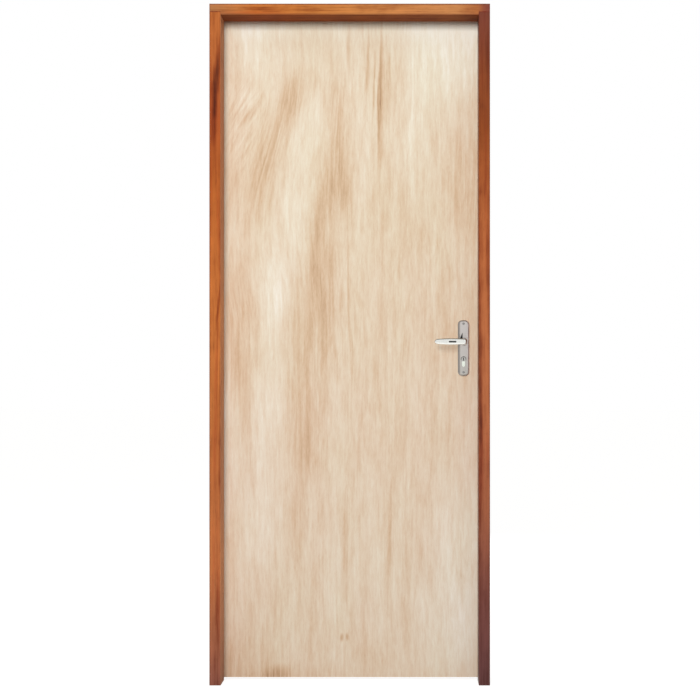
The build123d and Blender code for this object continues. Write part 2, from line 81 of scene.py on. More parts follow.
class Graph:
    """A node tree, built with short calls."""

    def __init__(self, tree):
        self.nodes, self.links = tree.nodes, tree.links

    def feed(self, socket, value):
        if isinstance(value, bpy.types.NodeSocket):
            self.links.new(value, socket)
        else:
            socket.default_value = value

    def node(self, kind, *values, **settings):
        """A new node with its settings, and with its first sockets fed from values."""
        made = self.nodes.new("ShaderNode" + kind)
        for name, setting in settings.items():
            setattr(made, name, setting)
        for socket, value in zip(made.inputs, values):
            self.feed(socket, value)
        return made

    def maths(self, operation, *values):
        return self.node("Math", *values, operation=operation).outputs[0]

    def fold(self, operation, first, *others):
        """One operation over many values, from left to right."""
        result = first
        for value in others:
            result = self.maths(operation, result, value)
        return result

    def total(self, *values):
        return self.fold("ADD", *values)

    def product(self, *values):
        return self.fold("MULTIPLY", *values)

    def largest(self, *values):
        return self.fold("MAXIMUM", *values)

    def difference(self, value, other):
        return self.maths("SUBTRACT", value, other)

    def absolute(self, value):
        return self.maths("ABSOLUTE", value)

    def vector(self, operation, *values):
        made = self.node("VectorMath", *values, operation=operation)
        return made.outputs["Value" if operation == "LENGTH" else "Vector"]

    def scaled(self, vector, factor):
        made = self.node("VectorMath", vector, operation="SCALE")
        self.feed(made.inputs["Scale"], factor)
        return made.outputs["Vector"]

    def split(self, vector):
        return self.node("SeparateXYZ", vector).outputs

    def join(self, x, y, z):
        return self.node("CombineXYZ", x, y, z).outputs[0]

    def noise(self, place, scale, detail=2.0, roughness=0.5):
        """Noise from 0 to 1 whose cells measure 1 / scale along each axis."""
        made = self.node("TexNoise")
        made.inputs["Scale"].default_value = 1
        made.inputs["Detail"].default_value = detail
        made.inputs["Roughness"].default_value = roughness
        self.feed(made.inputs["Vector"], self.vector("MULTIPLY", place, scale))
        return made.outputs[0]

    def signed(self, noise, amount):
        """Noise about zero, from -amount / 2 to amount / 2."""
        return self.product(self.difference(noise, 0.5), amount)

    def span(self, value, low, high, to_low=0.0, to_high=1.0):
        """A smooth step from to_low at low to to_high at high."""
        made = self.node("MapRange", value, low, high, to_low, to_high, interpolation_type="SMOOTHSTEP")
        return made.outputs[0]

    def ramp(self, value, stops):
        made = self.node("ValToRGB", value)
        elements = made.color_ramp.elements
        while len(elements) < len(stops):
            elements.new(0.5)
        for element, (position, colour) in zip(elements, stops):
            element.position, element.color = position, colour
        return made.outputs[0]

    def mix(self, share, first, second, blend="MIX"):
        made = self.node("Mix", data_type="RGBA", blend_type=blend)
        for index, value in zip(MIX_SOCKETS, (share, first, second)):
            self.feed(made.inputs[index], value)
        return made.outputs[2]

    def patch(self, place, x, z, half_width, half_length, lean):
        """1 in the middle of a long soft patch on the leaf's face, 0 outside. lean tips its top to +X."""
        made = self.node("Mapping", place, vector_type="TEXTURE")
        made.inputs["Location"].default_value = (x, 0, z)
        made.inputs["Rotation"].default_value = (0, radians(lean), 0)
        made.inputs["Scale"].default_value = (half_width, PATCH_DEPTH, half_length)
        return self.span(self.vector("LENGTH", made.outputs[0]), PATCH_RIM, PATCH_CORE)

    def sharp_rays(self):
        """1 for what the camera, a reflection or a clear piece sees, and 0 for scattered light."""
        rays = self.node("LightPath")
        kinds = ("Camera", "Glossy", "Transmission")
        return self.largest(*[rays.outputs[f"Is {kind} Ray"] for kind in kinds])


class Material(Graph):
    """The node tree of one material. along is the axis that its grain follows, where it has one."""

    def __init__(self, name, along=None):
        self.material = bpy.data.materials.new(name)
        self.material.use_nodes = True
        super().__init__(self.material.node_tree)
        self.along = along
        self.shader = self.nodes["Principled BSDF"]
        source = self.node("TexCoord")
        self.place, self.normal = source.outputs["Object"], source.outputs["Normal"]

    def grained(self, place, across, lengthwise, detail=2.0, roughness=0.5):
        """Noise with one scale across the grain and another along it."""
        scale = [lengthwise if axis == self.along else across for axis in range(3)]
        return self.noise(place, scale, detail, roughness)

    def bent(self, shift):
        """The place, moved by shift along both axes that cross the grain."""
        place = self.split(self.place)
        return self.join(*[
            place[axis] if axis == self.along else self.total(place[axis], shift) for axis in range(3)
        ])

    def facing(self, axis):
        """1 where the surface looks along an axis, either way, and 0 where it looks across it."""
        return self.absolute(self.split(self.normal)[axis])

    def bump(self, height, distance, strength):
        made = self.node("Bump")
        made.inputs["Strength"].default_value = strength
        made.inputs["Distance"].default_value = distance
        self.feed(made.inputs["Height"], height)
        self.links.new(made.outputs[0], self.shader.inputs["Normal"])

    def surface(self, colour, roughness, **constants):
        self.feed(self.shader.inputs["Base Color"], colour)
        self.feed(self.shader.inputs["Roughness"], roughness)
        for name, value in constants.items():
            self.shader.inputs[name.replace("_", " ")].default_value = value
        return self.material


# Wood

FRAME_WIDTH, FRAME_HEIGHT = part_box("head_jamb")[1][0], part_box("head_jamb")[1][2]
SEAM_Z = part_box("hinge_jamb")[1][2]
# Width of the jambs and of the head, as the push side shows them
JAMB_FACE = 35 * MM
SOFFIT_Z = FRAME_HEIGHT - JAMB_FACE
# Painted shade along the arrises of the frame's front: where each fades out and where it is full, from the
# frame's outline
LEFT_ARRIS, RIGHT_ARRIS, TOP_ARRIS = (3.6 * MM, 0.8 * MM), (2.6 * MM, 0.0), (4.6 * MM, 1.8 * MM)
# The same painted shade for the arris over the doorway, from the soffit up
SOFFIT_ARRIS = (9 * MM, -1 * MM)
# The dark seam between head and jambs: where it fades out and where it is full, from its middle
SEAM_HALF_WIDTH = (2.2 * MM, 1.0 * MM)
# Thickness of one ply of the skins
PLY = 1.5 * MM
# How squarely a face has to look to count: along an axis, across it, and to the push side
ALONG_AXIS, ACROSS_AXIS, TO_FRONT = (0.6, 0.8), (0.7, 0.4), (-0.3, -0.7)

# Figure of the leaf's front veneer: x, z, half width, half length, lean in degrees and tone of each patch
FRONT_FIGURE = {
    "cream corner at the top right": (0.745, 2.05, 0.230, 0.26, 0, 0.28),
    "cream corner at the top left": (0.120, 2.04, 0.150, 0.17, 0, 0.16),
    "dark slope at the left": (0.205, 1.76, 0.080, 0.27, 17, -0.165),
    "head of the slope": (0.275, 1.88, 0.066, 0.12, 12, -0.125),
    "foot of the slope": (0.160, 1.58, 0.065, 0.17, 9, -0.12),
    "pale grain beside the foot": (0.060, 1.42, 0.060, 0.18, 0, 0.08),
    "streaks below the slope": (0.080, 1.13, 0.062, 0.32, 2, -0.14),
    "pale edge at the hinge side": (0.045, 0.76, 0.080, 0.38, 0, 0.22),
    "dark streaks at the left edge": (0.085, 0.96, 0.050, 0.18, 0, -0.06),
    "crown": (0.396, 1.83, 0.045, 0.20, 0, -0.22),
    "left flank of the crown": (0.356, 1.52, 0.050, 0.28, 9, -0.175),
    "right flank of the crown": (0.425, 1.55, 0.032, 0.26, -5, -0.12),
    "inside of the crown": (0.392, 1.60, 0.050, 0.20, 0, -0.08),
    "patch under the crown": (0.326, 1.20, 0.090, 0.30, 4, -0.20),
    "low end of the patch": (0.302, 0.84, 0.086, 0.30, 2, -0.165),
    "long line beside the crown": (0.533, 1.86, 0.011, 0.36, 0.5, -0.33),
    "dark part of that line": (0.539, 1.87, 0.016, 0.18, 0, -0.15),
    "line to its left": (0.484, 1.96, 0.008, 0.17, 1, -0.20),
    "second line to its left": (0.508, 1.90, 0.007, 0.20, 0, -0.18),
    "short line to its right": (0.552, 1.93, 0.006, 0.14, 0, -0.16),
    "wavy line near the top": (0.431, 2.01, 0.009, 0.13, -2, -0.16),
    "lower part of the long line": (0.535, 1.45, 0.008, 0.24, 0, -0.13),
    "fine line below the crown": (0.435, 1.15, 0.007, 0.40, -1, -0.24),
    "pale line at the right": (0.632, 1.72, 0.010, 0.42, 0, 0.11),
    "tan patch at the right": (0.800, 1.56, 0.085, 0.26, -6, -0.13),
    "pale edge at the lock side": (0.800, 0.40, 0.120, 0.58, 0, 0.16),
    "pale foot at the lock side": (0.745, 0.17, 0.150, 0.24, 0, 0.14),
    "low dark line": (0.425, 0.42, 0.014, 0.34, 0, -0.16),
    "line to its right": (0.560, 0.45, 0.013, 0.25, 0, -0.14),
    "low patch at the left": (0.275, 0.50, 0.050, 0.19, 0, -0.15),
    "dark corner at the bottom left": (0.060, 0.03, 0.220, 0.26, 0, -0.13),
    "dark bottom edge": (0.260, 0.00, 0.300, 0.07, 0, -0.09),
    "pale band, upper stretch": (0.298, 1.74, 0.090, 0.27, 14, 0.105),
    "pale band, middle stretch": (0.240, 1.42, 0.095, 0.27, 10, 0.14),
    "pale band, brightest stretch": (0.196, 1.22, 0.070, 0.22, 5, 0.25),
    "pale band, lower stretch": (0.174, 0.88, 0.078, 0.30, 3, 0.19),
    "pale band, foot": (0.140, 0.55, 0.100, 0.28, 2, 0.16),
    "pale streak at the middle": (0.478, 1.66, 0.045, 0.30, 0, 0.11),
    "pale field at the right": (0.650, 1.75, 0.110, 0.32, 0, 0.05),
    "brown eye at the bottom edge": (0.204, 0.016, 0.060, 0.045, 0, -0.25),
}
FRONT_KNOTS = {
    "knot": (0.411, 0.135, 0.0085, 0.020, 0, -0.34),
    "knot beside it": (0.428, 0.137, 0.0080, 0.019, 0, -0.30),
}
# Places where the grain leans over in short flames: x, z, half width, half length and lean
FRONT_FLAMES = [(0.085, 1.74, 0.085, 0.19, 0), (0.100, 1.86, 0.100, 0.10, 0)]
# How far the flames lean, as a share of their length
FLAME_LEAN = 0.55
# The same lists for the back veneer, which is plainer
BACK_FIGURE = {
    "crown": (0.520, 1.45, 0.060, 0.55, 1, -0.22),
    "pale band": (0.640, 1.20, 0.070, 0.60, -3, 0.20),
    "tan patch": (0.250, 0.75, 0.080, 0.40, 2, -0.16),
    "cream field": (0.220, 1.70, 0.140, 0.35, 0, 0.16),
}
# Tone of plain veneer, and how strong its lines are there
VENEER_TONE, VENEER_LINES = 0.575, 0.06
# How the tone drifts with height: from, to, and the tone that is added at both
TONE_BY_HEIGHT = [
    (0.00, 0.30, -0.03, 0.00), (0.30, 0.90, 0.03, 0.00), (1.60, 2.00, 0.00, 0.07), (2.02, 2.09, 0.00, 0.14),
]
# The area in which the grain leans over, as a patch, and the height at which it leans neither way
LEANING_AREA, UPRIGHT_AT = (0.16, 1.72, 0.30, 0.62, 10), 1.65


def veneer(name, figure, knots, flamed, shift):
    """Rotary cut plywood: cream to tan figure with fine upright grain, and ply lines on the sheet's edges."""
    g = Material(name)
    x, y, z = g.split(g.place)

    def sideways(*amounts):
        """The place in the pattern, moved along X."""
        return g.vector("ADD", g.join(g.total(x, *amounts), y, z), shift)

    moved = g.vector("ADD", g.place, shift)
    wander = g.total(
        g.signed(g.noise(moved, (2.4, 1, 0.8), 1), 0.07),
        g.signed(g.noise(moved, (10, 1, 4.0), 1), 0.018),
        g.signed(g.noise(moved, (50, 1, 16), 1), 0.004),
    )
    lean = g.product(g.difference(UPRIGHT_AT, z), g.patch(g.place, *LEANING_AREA))
    figured = sideways(wander, g.product(lean, 0.26))
    upright = sideways(g.product(wander, 0.25), g.product(lean, 0.06))
    broad = g.noise(figured, (22, 5, 2.2), 2, 0.5)
    lines = g.noise(figured, (130, 10, 3.6), 2, 0.55)
    streaks = g.noise(upright, (80, 10, 10), 3, 0.65)
    fibres = g.noise(upright, (190, 20, 30), 3, 0.6)
    hairs = g.noise(upright, (300, 20, 1.8), 1)
    flecks = g.noise(upright, (480, 60, 80), 2, 0.5)
    quilt = g.noise(moved, (13, 4, 6), 2)
    threads = g.noise(upright, (1900, 80, 60), 2, 0.6)
    dashes = g.noise(upright, (1500, 90, 150), 1)
    tone = g.total(
        VENEER_TONE,
        g.signed(broad, 0.26),
        g.signed(streaks, 0.40),
        g.signed(fibres, 0.25),
        g.signed(hairs, 0.08),
        g.signed(flecks, 0.14),
        g.signed(threads, 0.22),
        g.signed(quilt, 0.18),
        *[g.span(z, *drift) for drift in TONE_BY_HEIGHT],
    )
    grained = g.total(0.5, g.product(streaks, 0.7))
    ragged = g.total(g.signed(broad, 0.05), g.signed(streaks, 0.008))
    spread = g.join(g.total(x, g.product(wander, 0.35), ragged), y, z)
    busy = VENEER_LINES
    for *where, amount in figure.values():
        inside = g.patch(spread, *where)
        tone = g.maths("MULTIPLY_ADD", g.product(inside, amount), grained, tone)
        if amount < 0:
            busy = g.maths("MULTIPLY_ADD", inside, -amount, busy)
    tone = g.maths("MULTIPLY_ADD", busy, g.signed(lines, 2.2), tone)
    leaning_x = g.maths("MULTIPLY_ADD", z, -FLAME_LEAN, g.total(x, wander))
    leaning = g.join(leaning_x, y, g.maths("MULTIPLY_ADD", x, FLAME_LEAN, z))
    flames = g.signed(g.noise(leaning, (75, 10, 9), 2, 0.6), 0.62)
    for place in flamed:
        tone = g.maths("MULTIPLY_ADD", g.patch(spread, *place), flames, tone)
    for *where, amount in knots.values():
        tone = g.maths("MULTIPLY_ADD", g.patch(g.place, *where), amount, tone)
    colour = g.ramp(tone, [
        (0.00, rgb(150, 112, 82)),
        (0.22, rgb(194, 160, 127)),
        (0.42, rgb(215, 187, 157)),
        (0.60, rgb(226, 208, 184)),
        (0.80, rgb(235, 225, 206)),
        (1.00, rgb(244, 239, 227)),
    ])
    pores = g.span(dashes, 0.33, 0.22)
    colour = g.mix(g.product(pores, 0.30), colour, rgb(176, 136, 102))
    hue = g.total(g.signed(g.noise(moved, (8, 2, 2.5), 2), 1.4), g.span(z, 0.7, 1.7, 0.2, 0.8))
    rosy = g.mix(1.0, colour, rgb(255, 251, 251), "MULTIPLY")
    greenish = g.mix(1.0, colour, rgb(254, 255, 252), "MULTIPLY")
    colour = g.mix(hue, rosy, greenish)
    edge = g.span(g.facing(1), *ACROSS_AXIS)
    plies = g.maths("FRACT", g.maths("DIVIDE", y, PLY))
    ply_colour = g.mix(g.span(plies, 0.45, 0.55), rgb(214, 184, 150), rgb(168, 126, 92))
    blotches = g.span(g.noise(g.place, (300, 300, 300), 3), 0.3, 0.7, 0, 0.5)
    ply_colour = g.mix(blotches, ply_colour, rgb(190, 152, 118))
    colour = g.mix(edge, colour, ply_colour)
    height = g.total(g.product(threads, 0.5), g.product(pores, -0.5), g.product(streaks, 0.3))
    g.bump(height, 0.12 * MM, 0.6)
    return g.surface(colour, g.span(streaks, 0.2, 0.8, 0.62, 0.50), Specular_IOR_Level=0.35)


# Colours along the frame's members, from a jamb's foot or the head's hinge side: place and colour
LEFT_JAMB = [
    (0.00, (142, 87, 74)), (0.35, (202, 122, 71)), (0.62, (190, 111, 60)), (0.85, (197, 117, 60)),
    (1.20, (204, 119, 57)), (1.60, (187, 101, 43)), (1.78, (174, 86, 40)), (1.90, (190, 106, 54)),
    (2.113, (196, 113, 55)),
]
RIGHT_JAMB = [
    (0.00, (98, 60, 60)), (0.25, (124, 73, 66)), (0.55, (164, 96, 66)), (0.70, (174, 102, 68)),
    (0.95, (192, 114, 72)), (1.40, (194, 112, 63)), (1.60, (170, 91, 45)), (1.75, (146, 74, 31)),
    (1.95, (134, 67, 34)), (2.113, (125, 65, 49)),
]
HEAD = [
    (0.00, (186, 127, 78)), (0.15, (206, 122, 54)), (0.33, (202, 126, 60)), (0.50, (208, 137, 74)),
    (0.68, (204, 136, 80)), (0.78, (209, 143, 86)), (0.845, (188, 115, 64)), (0.862, (150, 82, 58)),
    (0.88, (130, 68, 56)),
]
# Dark streaks of the jambs: x, z, half width, half length, lean in degrees and tone. The strike jamb's first
# entry, along its inner edge, is painted shade
LEFT_JAMB_STREAKS = [
    (0.022, 1.89, 0.017, 0.15, 4, -0.36),
    (0.018, 1.77, 0.017, 0.13, 3, -0.30),
    (0.030, 1.97, 0.010, 0.16, 0, -0.22),
    (0.026, 1.19, 0.006, 0.10, 6, -0.30),
    (0.032, 1.45, 0.007, 0.30, 0, -0.25),
    (0.032, 0.75, 0.007, 0.40, 0, -0.25),
]
RIGHT_JAMB_STREAKS = [
    # Painted shade along the strike jamb's inner edge, down its whole length
    (0.848, 1.00, 0.014, 1.10, 0, -0.30),
    (0.879, 0.90, 0.006, 1.00, 0, -0.20),
    (0.872, 1.98, 0.012, 0.16, 0, -0.20),
    (0.874, 1.30, 0.008, 0.35, 0, -0.20),
    (0.852, 0.80, 0.007, 0.30, 0, -0.20),
]


def hardwood(name, along, tones, streaks=(), faces=(), contrast=1.0):
    """Oiled red-brown hardwood. along is the grain's axis, and tones its colours along the member.

    faces holds an axis, a sign, a colour and how that colour is laid on the faces that look that way: painted
    light or shade for those faces.
    """
    g = Material(name, along)
    place = g.split(g.place)
    bend = g.signed(g.grained(g.place, 4, 1.3, 2), 0.014)
    ripple = g.signed(g.grained(g.place, 30, 9, 1), 0.0016)
    bent = g.bent(g.total(bend, ripple))
    bands = g.grained(bent, 55, 0.9, 3, 0.55)
    grain = g.grained(bent, 210, 5, 3, 0.6)
    fibres = g.grained(bent, 700, 30, 2, 0.6)
    ribbon = g.grained(g.place, 26, 14, 2)
    blush = g.grained(bent, 75, 2.2, 2, 0.5)
    pores = g.span(g.grained(bent, 1100, 45, 1), 0.36, 0.24)
    tone = g.total(
        0.5,
        g.signed(bands, 0.70 * contrast),
        g.signed(grain, 0.62 * contrast),
        g.signed(fibres, 0.34 * contrast),
        g.signed(ribbon, 0.50 * contrast),
    )
    for *where, amount in streaks:
        share = g.product(g.patch(bent, *where), amount)
        tone = g.maths("MULTIPLY_ADD", share, g.total(0.5, grain), tone)
    shades = g.ramp(tone, [
        (0.00, rgb(118, 88, 84)),
        (0.25, rgb(196, 172, 160)),
        (0.50, rgb(236, 232, 228)),
        (0.75, rgb(255, 250, 246)),
        (1.00, rgb(255, 255, 255)),
    ])
    low, high = tones[0][0], tones[-1][0]
    share = g.maths("DIVIDE", g.difference(place[along], low), high - low)
    drift = g.signed(g.grained(g.place, 8, 4, 2), 0.05)
    body = g.ramp(g.total(share, drift), [((at - low) / (high - low), rgb(*tint)) for at, tint in tones])
    colour = g.mix(1.0, body, shades, "MULTIPLY")
    colour = g.mix(g.span(blush, 0.50, 0.72, 0, 0.5), colour, rgb(224, 172, 158), "MULTIPLY")
    colour = g.mix(g.product(pores, 0.45), colour, rgb(92, 44, 24))
    rough = g.span(grain, 0.2, 0.8, 0.50, 0.38)
    # Painted light or shade on the faces that look one way
    for axis, sign, tint, blend in faces:
        facing = g.span(g.product(g.split(g.normal)[axis], sign), *ALONG_AXIS, 0.0, 0.8)
        colour = g.mix(facing, colour, rgb(*tint), blend)
        rough = g.maths("MULTIPLY_ADD", facing, 0.5, rough)
    # Painted shade along the front's arrises, at the frame's outline and over the doorway
    outer = g.largest(
        g.span(place[0], *LEFT_ARRIS),
        g.span(g.difference(FRAME_WIDTH, place[0]), *RIGHT_ARRIS),
        g.span(g.difference(FRAME_HEIGHT, place[2]), *TOP_ARRIS),
    )
    if along == 0:
        outer = g.largest(outer, g.span(g.difference(place[2], SOFFIT_Z), *SOFFIT_ARRIS, 0.0, 0.9))
    front = g.span(g.split(g.normal)[1], *TO_FRONT, 0.0, 0.7)
    colour = g.mix(g.product(outer, front), colour, rgb(112, 60, 40))
    from_middle = g.absolute(g.difference(place[0], FRAME_WIDTH / 2))
    doorway = FRAME_WIDTH / 2 - JAMB_FACE
    past = g.span(from_middle, doorway, doorway + MM)
    seam = g.span(g.absolute(g.difference(place[2], SEAM_Z)), *SEAM_HALF_WIDTH)
    seam = g.product(seam, g.span(g.noise(g.place, (90, 90, 90), 2), 0.25, 0.6, 0.4, 1.0))
    colour = g.mix(g.product(seam, past), colour, rgb(112, 40, 24))
    ends = g.span(g.facing(along), *ALONG_AXIS)
    rings = g.noise(g.place, (160, 160, 160), 3, 0.7)
    end_grain = g.ramp(rings, [(0.3, rgb(84, 44, 26)), (0.7, rgb(136, 80, 46))])
    colour = g.mix(g.product(ends, 0.75), colour, end_grain)
    height = g.total(g.product(fibres, 0.4), g.product(pores, -0.8), g.product(grain, 0.5))
    g.bump(height, 0.14 * MM, 0.7)
    return g.surface(colour, rough, Specular_IOR_Level=0.22)


def framing_wood(name, along, tint):
    """Planed softwood of the leaf's stiles, rails and slats, which shows on the leaf's edges."""
    g = Material(name, along)
    bent = g.bent(g.signed(g.grained(g.place, 6, 1.5, 2), 0.010))
    rings = g.grained(bent, 120, 1.2, 2, 0.5)
    fibres = g.grained(bent, 600, 16, 2, 0.6)
    saw = g.grained(g.place, 5, 420, 1)
    tone = g.total(0.5, g.signed(rings, 1.0), g.signed(fibres, 0.3), g.signed(saw, 0.10))
    shades = g.ramp(tone, [
        (0.0, rgb(196, 164, 136)),
        (0.4, rgb(232, 216, 200)),
        (0.7, rgb(250, 244, 236)),
        (1.0, rgb(255, 255, 255)),
    ])
    colour = g.mix(1.0, shades, rgb(*tint), "MULTIPLY")
    g.bump(g.total(fibres, g.product(saw, 0.8)), 0.10 * MM, 0.6)
    return g.surface(colour, g.span(fibres, 0.2, 0.8, 0.70, 0.58), Specular_IOR_Level=0.3)


# Metal

# How squarely a metal surface looks along Y: a flat face, and a chamfer
FLAT, CHAMFER = 0.99, 0.93


def brushed(name, tint, roughness, brush, wear=0.5, marks=None, edges=0.0):
    """Satin metal. brush is how much finer the lines are along each axis, and wear darkens small scuffs.

    marks, where given, takes the graph and yields pairs of a share and the colour that it lays on.
    edges is how much rougher the chamfers are than the face.
    """
    g = Material(name)
    lines = g.noise(g.place, brush, 3, 0.65)
    smudges = g.noise(g.place, (60, 60, 60), 3, 0.6)
    scuffs = g.span(g.noise(g.place, (420, 420, 420), 2, 0.6), 0.36, 0.26)
    shades = g.total(0.93, g.signed(lines, 0.16), g.signed(smudges, 0.10), g.product(scuffs, -0.12 * wear))
    colour = g.scaled(rgb(*tint)[:3], shades)
    for share, paint in (marks(g) if marks else ()):
        colour = g.mix(share, colour, paint)
    rough = g.total(roughness, g.signed(lines, 0.10), g.signed(smudges, 0.12), g.product(scuffs, 0.08))
    rough = g.total(rough, g.span(g.facing(1), FLAT, CHAMFER, 0.0, edges))
    g.bump(g.total(lines, g.product(scuffs, -0.4 * wear)), 0.02 * MM, 0.5)
    return g.surface(colour, rough, Metallic=1.0)


LEVER_X, LEAF_MIDDLE_Y, LEVER_Z = middle_of("lever_spindle")
CYLINDER_Z = middle_of("front_key_plug")[2]
DIMPLE_AT, DIMPLE_HALF_LENGTH, DIMPLE_HALF_HEIGHT, DIMPLE_DEPTH = 36 * MM, 12 * MM, 2.7 * MM, 1.5 * MM
# Colour of the painted shade in the cylinder's joint and keyway
PAINTED_SHADE = rgb(46, 42, 42)
# Distance from the leaf's middle over which the slot's painted shade comes in, so that it stays on the grip's
# face
GRIP_FACE = (66 * MM, 68 * MM)
# Painted dark reflection of the lever's neck, a wedge over it, from the lever's axis: its slope, sides, foot
# and top
WEDGE_SLOPE = 0.42
WEDGE_LEFT, WEDGE_RIGHT = (-16.2 * MM, -15.4 * MM), (-2.4 * MM, -3.4 * MM)
WEDGE_FOOT, WEDGE_TOP = (8 * MM, 9 * MM), (34 * MM, 24 * MM)
# The plate's greyer foot and the painted shade in a band at its hinge side, from the lever's axis
GREYER_FOOT, SHADE_BAND = (40 * MM, -140 * MM), (-9.0 * MM, -13.5 * MM)
# The cylinder's painted highlight on its lower part, the painted shade in the joint round its plug and in the
# keyway, from the plug's middle
HIGHLIGHT_FOOT = (-6 * MM, -8.5 * MM)
JOINT_RADIUS, JOINT_FOOT = (6.2 * MM, 7.2 * MM), (-4 * MM, 0)
KEYWAY_ACROSS, KEYWAY_UP = (1.6 * MM, 1.2 * MM), (5.0 * MM, 4.4 * MM)


def from_point(g, x, z):
    """Signed distances across and up from a point of the leaf's face."""
    place = g.split(g.place)
    return g.difference(place[0], x), g.difference(place[2], z)


def distance(g, across, up):
    return g.vector("LENGTH", g.join(across, 0, up))


def lever_slot_shade(g):
    """Painted shade in the slot sunk in the lever's face."""
    across, up = from_point(g, LEVER_X - DIMPLE_AT, LEVER_Z)
    straight = DIMPLE_HALF_LENGTH - DIMPLE_HALF_HEIGHT
    past = g.largest(g.difference(g.absolute(across), straight), 0)
    reach = g.maths("DIVIDE", distance(g, past, up), DIMPLE_HALF_HEIGHT)
    face = g.span(g.absolute(g.difference(g.split(g.place)[1], LEAF_MIDDLE_Y)), *GRIP_FACE)
    yield g.product(g.span(reach, 0.98, 0.86), face), rgb(84, 84, 84)


def plate_marks(g):
    """Painted dark reflection of the neck above it, a greyer foot, painted highlights on the side chamfers
    and painted shade in a band at the hinge side.
    """
    across, up = from_point(g, LEVER_X, LEVER_Z)
    leaning = g.difference(across, g.product(up, WEDGE_SLOPE))
    sides = g.product(g.span(leaning, *WEDGE_LEFT), g.span(across, *WEDGE_RIGHT))
    # Painted dark reflection of the lever's neck on the plate
    yield g.product(sides, g.span(up, *WEDGE_FOOT), g.span(up, *WEDGE_TOP)), rgb(28, 26, 28)
    # The plate turns greyer towards its foot
    yield g.span(up, *GREYER_FOOT, 0.0, 0.45), rgb(168, 168, 156)
    # Painted highlight on the chamfers that look sideways
    yield g.span(g.facing(0), 0.2, 0.5), rgb(255, 253, 250)
    # Painted shade in a band down the plate's hinge side
    yield g.span(across, *SHADE_BAND, 0.0, 0.56), rgb(96, 86, 82)


def cylinder_marks(g):
    """A painted highlight on the lower part, painted shade in the upper part of the joint round the plug and
    in the keyway.
    """
    across, up = from_point(g, LEVER_X, CYLINDER_Z)
    # Painted highlight on the cylinder's lower part
    yield g.span(up, *HIGHLIGHT_FOOT), rgb(236, 242, 230)
    # Painted shade in the upper part of the joint round the plug
    joint = g.product(g.span(distance(g, across, up), *JOINT_RADIUS), g.span(up, *JOINT_FOOT))
    yield g.product(joint, 0.80), PAINTED_SHADE
    # Painted shade in the keyway
    yield g.product(g.span(g.absolute(across), *KEYWAY_ACROSS), g.span(g.absolute(up), *KEYWAY_UP)), PAINTED_SHADE


# Pieces

HINGES = ("top", "middle", "bottom")
# The leaf's two sides, and which way along Y each one looks
SIDES = (("front", -1), ("back", 1))


def placed(name, data):
    """A new object in the scene."""
    made = bpy.data.objects.new(name, data)
    bpy.context.scene.collection.objects.link(made)
    return made


def skinned(rings):
    """Vertices and faces of a tube through rings of equally many points, with its ends closed."""
    count = len(rings[0])
    last = (len(rings) - 1) * count
    sides = [(index, (index + 1) % count) for index in range(count)]
    vertices = [point for ring in rings for point in ring]
    faces = [
        (row + near, row + far, row + far + count, row + near + count)
        for row in range(0, last, count) for near, far in sides
    ]
    for row in (0, last):
        middle = len(vertices)
        vertices.append(sum((Vector(point) for point in vertices[row:row + count]), Vector()) / count)
        faces += [(row + near, row + far, middle) for near, far in sides]
    return vertices, faces


def mesh_object(name, body, slot, material, tubes):
    """One piece out of closed tubes, each of them a list of rings."""
    vertices, faces = [], []
    for rings in tubes:
        more, extra = skinned(rings)
        faces += [tuple(index + len(vertices) for index in face) for face in extra]
        vertices += more
    mesh = bpy.data.meshes.new(name)
    mesh.from_pydata(vertices, [], faces)
    work = bmesh.new()
    work.from_mesh(mesh)
    bmesh.ops.recalc_face_normals(work, faces=work.faces)
    work.to_mesh(mesh)
    work.free()
    mesh.shade_smooth()
    mesh.materials.append(material)
    piece = placed(name, mesh)
    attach(piece, body)
    return piece


# Sizes of the lever, from its axis or from the leaf's face
LEVER_REACH = 93 * MM
LEVER_PROJECTION = 58 * MM
LEVER_INNER_RADIUS, LEVER_CORNER_POWER = 5 * MM, 8
LEVER_NOSE = 14 * MM
LEVER_COLLAR = 9.6 * MM
LEVER_END_CLEARANCE = 2 * MM
NECK_WIDTH, NECK_ROOT = 17.6 * MM, 9 * MM
GRIP_THICKNESS, TIP_THICKNESS = 12 * MM, 9 * MM
ROOT_HEIGHT, WAIST_HEIGHT, SHOULDER_HEIGHT, SWELL = 17.4 * MM, 19.2 * MM, 17.4 * MM, 2.4 * MM
# How square a section is: 2 is an ellipse, and more is nearer to a rectangle
ROOT_SQUARENESS, GRIP_SQUARENESS, TIP_SQUARENESS = 2.2, 4.0, 3.2
# The nose stops short of its full quarter turn, and thins to this share before it closes
NOSE_TURN, NOSE_THINNING = radians(90) * 0.985, 0.35
# A section that has turned further than this belongs to the grip
GRIP_TURN = radians(86)
# Where the slot begins to sink and over what way, as shares of its half height
DIMPLE_RIM, DIMPLE_SLOPE = 1.12, 0.30
# How many times faster than their way the neck turns square and the nose closes
NECK_SQUARING, NOSE_CLOSING = 3, 4
NECK_STEPS, CORNER_STEPS, GRIP_STEPS, NOSE_STEPS = 8, 40, 126, 24
POINTS_AROUND, COLLAR_POINTS = 120, 64
# The collar's profile: how far inside its full radius, and how far out from the leaf
COLLAR_PROFILE = (
    (0.5 * MM, LEVER_END_CLEARANCE), (0.1 * MM, LEVER_END_CLEARANCE + 0.4 * MM), (0.1 * MM, 13.4 * MM),
    (0.3 * MM, 14.2 * MM), (0.9 * MM, 14.8 * MM), (2.0 * MM, 15.0 * MM),
)


def power_curve(value, power):
    return (1 if value >= 0 else -1) * abs(value) ** power


def between(start, end, share):
    return start + (end - start) * share


def shares(count, first=1):
    """Even shares of a way, up to the whole of it."""
    return [step / count for step in range(first, count + 1)]


